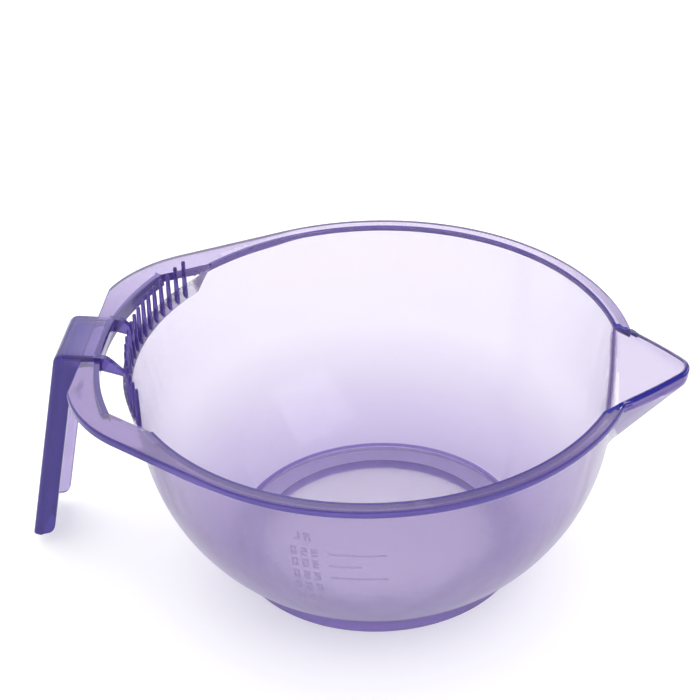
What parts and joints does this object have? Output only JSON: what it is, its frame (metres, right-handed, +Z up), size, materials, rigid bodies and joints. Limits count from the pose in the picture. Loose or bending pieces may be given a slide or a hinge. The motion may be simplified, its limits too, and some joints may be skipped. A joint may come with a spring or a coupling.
{
  "type": "hair color bowl",
  "caption": "Round translucent mixing bowl with a pouring spout, a brush comb beside a slot in the rim, a hook-shaped channel handle, a foot ring and a graduated inner wall.",
  "frame": {"origin": "on the bowl's vertical axis, in the plane of the table that the foot ring stands on", "axes": "+X towards the pouring spout, with the handle on -X; +Y to the left of someone pouring; +Z up"},
  "size_m": [0.1779, 0.1384, 0.0683],
  "materials": {
    "tinted_plastic": "clear violet tinted polypropylene, polished",
    "scale_marks": "same violet tinted polypropylene, raised marks"
  },
  "bodies": {
    "root": {"bowl_wall": "tinted_plastic", "bowl_belly": "tinted_plastic", "bowl_floor": "tinted_plastic", "foot_ring": "tinted_plastic", "rim_flange_left": "tinted_plastic", "rim_flange_right": "tinted_plastic", "handle_shelf_left": "tinted_plastic", "handle_shelf_right": "tinted_plastic", "handle_top": "tinted_plastic", "handle_grip": "tinted_plastic", "handle_side_left": "tinted_plastic", "handle_side_right": "tinted_plastic", "window_rib_middle": "tinted_plastic", "window_rib_left": "tinted_plastic", "window_rib_right": "tinted_plastic", "brace_left": "tinted_plastic", "brace_right": "tinted_plastic", "pour_spout": "tinted_plastic", "spout_lip": "tinted_plastic", "comb_tooth_01": "tinted_plastic", "comb_tooth_02": "tinted_plastic", "comb_tooth_03": "tinted_plastic", "comb_tooth_04": "tinted_plastic", "comb_tooth_05": "tinted_plastic", "comb_tooth_06": "tinted_plastic", "comb_tooth_07": "tinted_plastic", "comb_tooth_08": "tinted_plastic", "comb_tooth_09": "tinted_plastic", "comb_tooth_10": "tinted_plastic", "comb_tooth_11": "tinted_plastic", "comb_tooth_12": "tinted_plastic", "comb_tooth_13": "tinted_plastic", "comb_tooth_14": "tinted_plastic", "comb_tooth_15": "tinted_plastic", "comb_tooth_16": "tinted_plastic", "comb_tooth_17": "tinted_plastic", "comb_tooth_18": "tinted_plastic", "comb_tooth_19": "tinted_plastic", "scale_ticks": "scale_marks", "scale_numerals": "scale_marks"}
  },
  "joints": []
}
